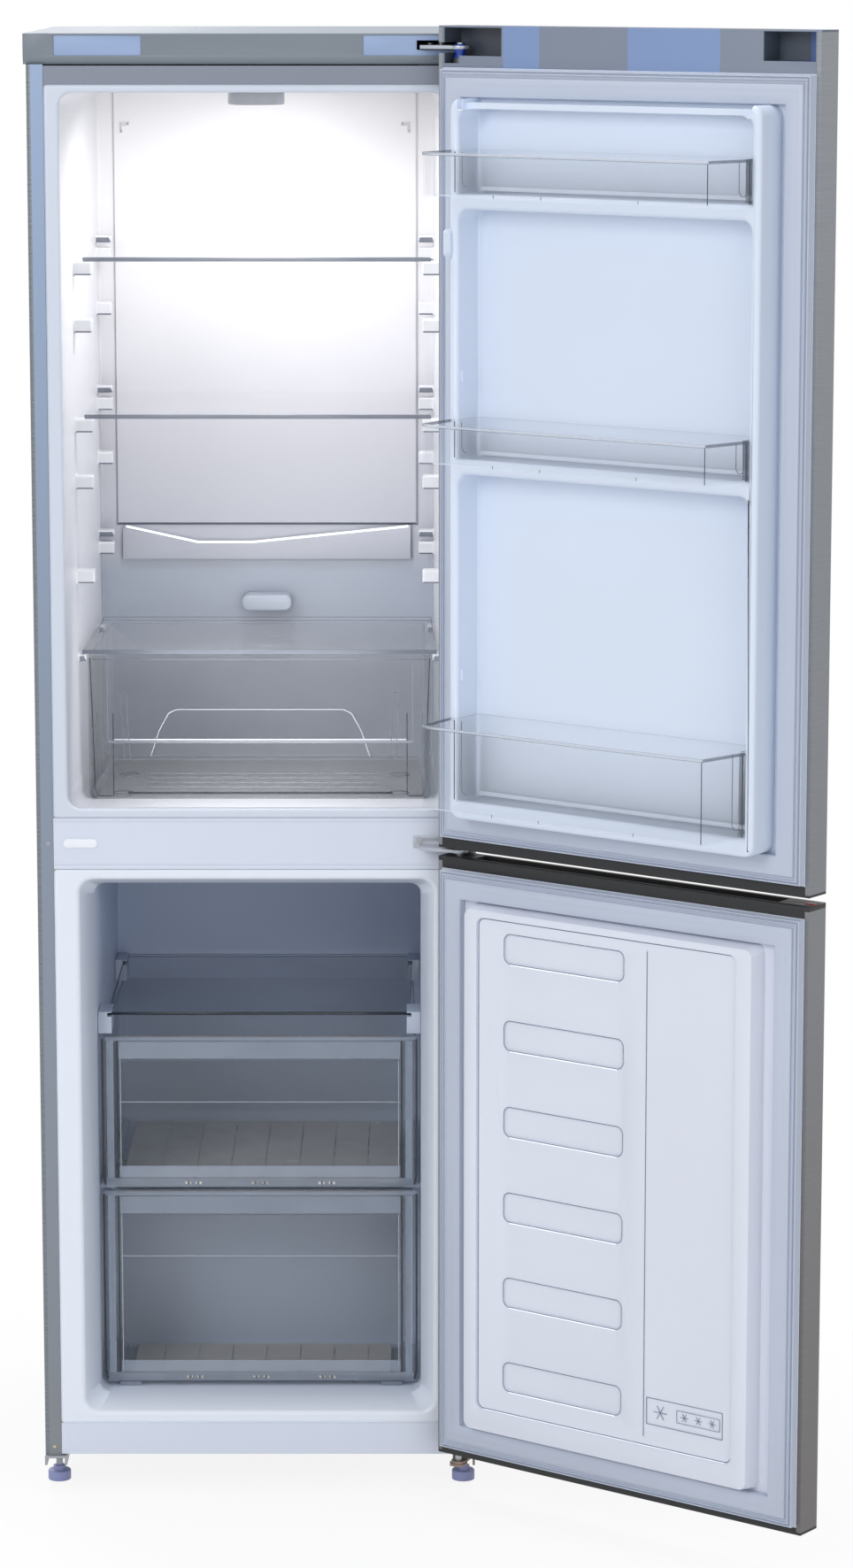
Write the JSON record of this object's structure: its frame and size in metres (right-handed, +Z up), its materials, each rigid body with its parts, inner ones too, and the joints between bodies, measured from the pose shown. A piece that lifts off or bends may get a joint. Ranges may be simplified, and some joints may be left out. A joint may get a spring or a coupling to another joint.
{
  "type": "fridge freezer",
  "caption": "Free-standing two-door fridge freezer with a fridge above a freezer, glass shelves, clear drawers and door bins, both doors open.",
  "frame": {"origin": "on the floor under the middle of the cabinet's front face", "axes": "+X to the hinge side, on the viewer's right; +Y to the back of the cabinet; +Z up"},
  "size_m": [0.9544, 0.9502, 1.8365],
  "materials": {
    "side_metal": "fine horizontal brushing",
    "galvanised": "plain galvanised sheet",
    "frame_grey": "satin paint",
    "cover_grey": "fine moulded texture",
    "insert_blue_grey": "smooth",
    "white_panel": "smooth satin",
    "liner_white": "thermoformed satin",
    "liner_ice": "thermoformed satin",
    "door_liner_white": "thermoformed satin",
    "hinge_steel": "satin paint",
    "bracket_brown": "zinc and paint",
    "pin_steel": "turned",
    "screw_steel": "zinc plated",
    "bush_blue": "moulded",
    "foam": "rigid foam",
    "glass_clear": "polished edge",
    "drawer_clear": "clear moulded plastic",
    "freezer_clear": "smoked clear moulded plastic",
    "bin_clear": "clear moulded plastic",
    "gasket_grey": "soft matt",
    "cap_black": "fine grain",
    "cap_light": "fine grain",
    "plug_red": "smooth",
    "door_metal": "fine horizontal brushing",
    "compressor_black": "gloss paint",
    "mount_rubber": "moulded",
    "condenser_black": "satin paint",
    "copper": "drawn tube",
    "evaporator_aluminium": "roll bonded",
    "black_plastic": "moulded",
    "board_green": "coated board",
    "hose_grey": "extruded",
    "lamp_milk": "frosted",
    "foot_blue_grey": "moulded",
    "roller_grey": "moulded"
  },
  "bodies": {
    "cabinet": {"side_panel_left": "side_metal", "side_panel_right": "side_metal", "back_panel": "galvanised", "top_panel": "frame_grey", "plinth": "white_panel", "top_cover": "cover_grey", "top_cover_inserts": "insert_blue_grey", "mullion_panel": "white_panel", "mullion_plug": "cover_grey", "top_hinge_plate": "hinge_steel", "top_hinge_bush": "bush_blue", "middle_hinge_bracket": "hinge_steel", "lower_hinge_bracket": "bracket_brown", "hinge_pins": "pin_steel", "cabinet_screws": "screw_steel", "fridge_liner": "liner_white", "freezer_liner": "liner_ice", "condenser": "condenser_black", "compressor": "compressor_black", "compressor_mounts": "mount_rubber", "evaporation_tray": "black_plastic", "drain_hose": "hose_grey", "filter_drier": "copper", "refrigerant_pipes": "copper", "evaporator_plates": "evaporator_aluminium", "power_inlet": "black_plastic", "control_board": "board_green", "base_frame": "galvanised", "cabinet_insulation": "foam", "interior_lamp": "lamp_milk", "drip_gutter": "liner_white", "sensor_cover": "liner_white", "freezer_shelf_holders": "white_panel"},
    "fridge_door": {"fridge_door_skin": "door_metal", "fridge_door_top_cap": "cap_light", "fridge_door_bottom_cap": "cap_black", "fridge_door_gasket": "gasket_grey", "fridge_door_liner": "door_liner_white", "fridge_door_insulation": "foam"},
    "freezer_door": {"freezer_door_skin": "door_metal", "freezer_door_top_cap": "cap_black", "freezer_cap_plug": "plug_red", "freezer_door_bottom_cap": "cap_black", "freezer_door_gasket": "gasket_grey", "freezer_door_liner": "door_liner_white", "freezer_door_insulation": "foam"},
    "glass_shelf_upper": {"glass_shelf_upper": "glass_clear"},
    "glass_shelf_lower": {"glass_shelf_lower": "glass_clear"},
    "crisper_glass": {"crisper_glass": "glass_clear"},
    "crisper_drawer": {"crisper_drawer": "drawer_clear"},
    "freezer_glass_shelf": {"freezer_glass_shelf": "glass_clear"},
    "freezer_drawer_upper": {"freezer_drawer_upper": "freezer_clear"},
    "freezer_drawer_lower": {"freezer_drawer_lower": "freezer_clear"},
    "door_bin_upper": {"door_bin_upper": "bin_clear"},
    "door_bin_middle": {"door_bin_middle": "bin_clear"},
    "door_bin_lower": {"door_bin_lower": "bin_clear"},
    "front_foot_left": {"front_foot_left": "foot_blue_grey"},
    "front_foot_right": {"front_foot_right": "foot_blue_grey"},
    "rear_roller_left": {"rear_roller_left": "roller_grey"},
    "rear_roller_right": {"rear_roller_right": "roller_grey"}
  },
  "joints": [
    {"name": "fridge_door_hinge", "type": "hinge", "parent": "cabinet", "child": "fridge_door", "pos_m": [0.2515, -0.03, 1.3], "axis": [0, 0, 1], "range_deg": [-143, 7]},
    {"name": "freezer_door_hinge", "type": "hinge", "parent": "cabinet", "child": "freezer_door", "pos_m": [0.2515, -0.03, 0.44], "axis": [0, 0, 1], "range_deg": [-143, 7]},
    {"name": "glass_shelf_upper_slide", "type": "slide", "parent": "cabinet", "child": "glass_shelf_upper", "axis": [0, -1, 0], "range_m": [0, 0.25]},
    {"name": "glass_shelf_lower_slide", "type": "slide", "parent": "cabinet", "child": "glass_shelf_lower", "axis": [0, -1, 0], "range_m": [0, 0.25]},
    {"name": "crisper_glass_slide", "type": "slide", "parent": "cabinet", "child": "crisper_glass", "axis": [0, -1, 0], "range_m": [0, 0.25]},
    {"name": "crisper_drawer_slide", "type": "slide", "parent": "cabinet", "child": "crisper_drawer", "axis": [0, -1, 0], "range_m": [0, 0.14]},
    {"name": "freezer_glass_shelf_slide", "type": "slide", "parent": "cabinet", "child": "freezer_glass_shelf", "axis": [0, -1, 0], "range_m": [0, 0.25]},
    {"name": "freezer_drawer_upper_slide", "type": "slide", "parent": "cabinet", "child": "freezer_drawer_upper", "axis": [0, -1, 0], "range_m": [0, 0.3]},
    {"name": "freezer_drawer_lower_slide", "type": "slide", "parent": "cabinet", "child": "freezer_drawer_lower", "axis": [0, -1, 0], "range_m": [0, 0.17]},
    {"name": "door_bin_upper_lift", "type": "slide", "parent": "fridge_door", "child": "door_bin_upper", "axis": [0, 0, 1], "range_m": [0, 0.03]},
    {"name": "door_bin_middle_lift", "type": "slide", "parent": "fridge_door", "child": "door_bin_middle", "axis": [0, 0, 1], "range_m": [0, 0.03]},
    {"name": "door_bin_lower_lift", "type": "slide", "parent": "fridge_door", "child": "door_bin_lower", "axis": [0, 0, 1], "range_m": [0, 0.03]},
    {"name": "front_foot_left_turn", "type": "hinge", "parent": "cabinet", "child": "front_foot_left", "pos_m": [-0.258, 0.045, 0.03], "axis": [0, 0, 1], "continuous": true},
    {"name": "rear_roller_left_roll", "type": "hinge", "parent": "cabinet", "child": "rear_roller_left", "pos_m": [-0.235, 0.48, 0.015], "axis": [1, 0, 0], "continuous": true},
    {"name": "front_foot_right_turn", "type": "hinge", "parent": "cabinet", "child": "front_foot_right", "pos_m": [0.258, 0.045, 0.03], "axis": [0, 0, 1], "continuous": true},
    {"name": "rear_roller_right_roll", "type": "hinge", "parent": "cabinet", "child": "rear_roller_right", "pos_m": [0.235, 0.48, 0.015], "axis": [1, 0, 0], "continuous": true}
  ]
}
